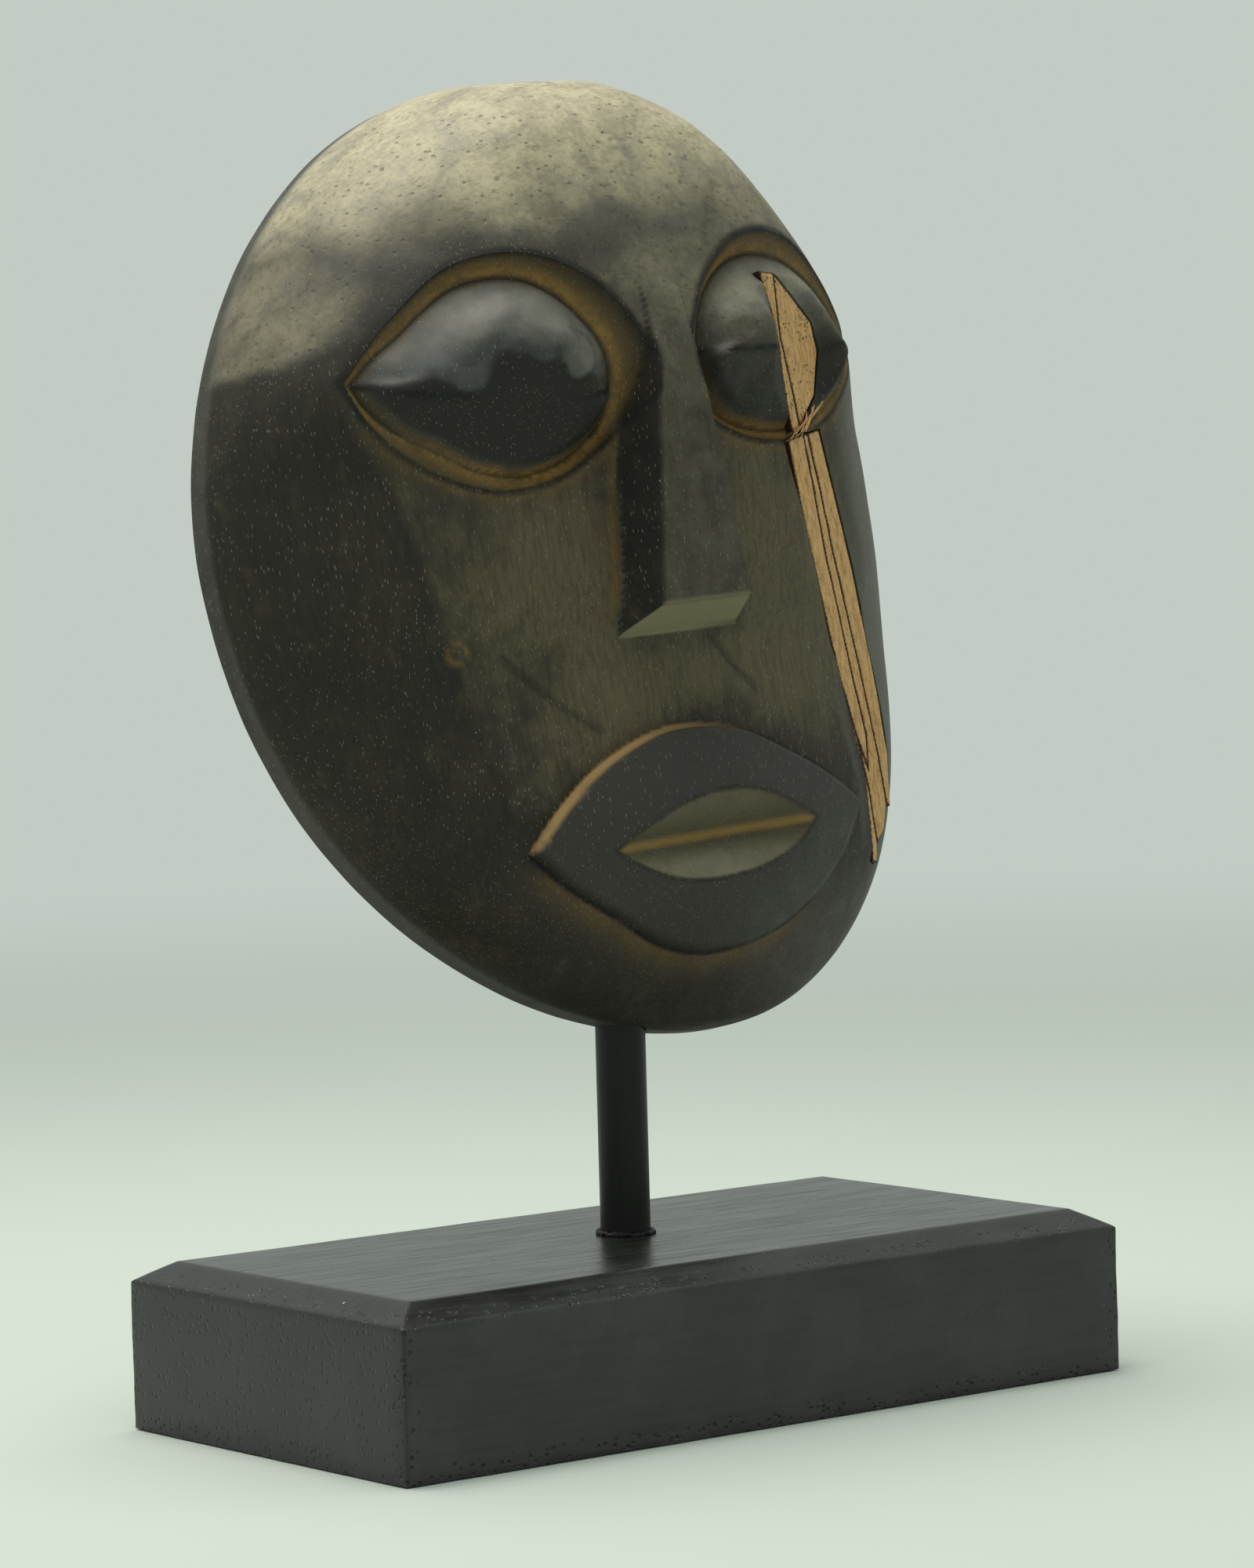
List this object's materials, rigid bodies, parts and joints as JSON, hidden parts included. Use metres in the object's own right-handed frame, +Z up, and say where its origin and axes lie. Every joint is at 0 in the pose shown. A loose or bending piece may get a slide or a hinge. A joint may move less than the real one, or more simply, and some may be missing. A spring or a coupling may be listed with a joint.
{
  "type": "carved wooden mask on a stand",
  "caption": "Carved oval wooden mask with lens eyes, wedge nose and inlaid raw-wood slips, held on a post above a rectangular block base.",
  "frame": {"origin": "centre of the base's underside, on the surface it stands on", "axes": "+Z up along the post, +X along the base's length, the face looks toward -Y"},
  "size_m": [0.2, 0.107, 0.2945],
  "materials": {
    "base_paint": "matte charcoal paint over wood",
    "post_paint": "satin black paint",
    "pin_steel": "plain drawn steel",
    "mask_wood": "dark antiqued stain with worn ochre and grey patches",
    "raw_wood": "bare split wood with dark edges"
  },
  "bodies": {
    "stand": {"base_block": "base_paint", "support_post": "post_paint"},
    "pin": {"mask_pin": "pin_steel"},
    "mask": {"mask": "mask_wood", "eye_slip_inner": "raw_wood", "eye_slip_outer": "raw_wood", "cheek_slip_edge": "raw_wood", "cheek_slip_inner": "raw_wood", "cheek_slip_middle": "raw_wood", "cheek_slip_outer": "raw_wood"}
  },
  "joints": [
    {"name": "pin_lift", "type": "slide", "parent": "stand", "child": "pin", "axis": [0, 0, 1], "range_m": [0, 0.022]},
    {"name": "mask_swivel", "type": "hinge", "parent": "pin", "child": "mask", "pos_m": [0, 0.002, 0.0855], "axis": [0, 0, 1], "continuous": true}
  ]
}
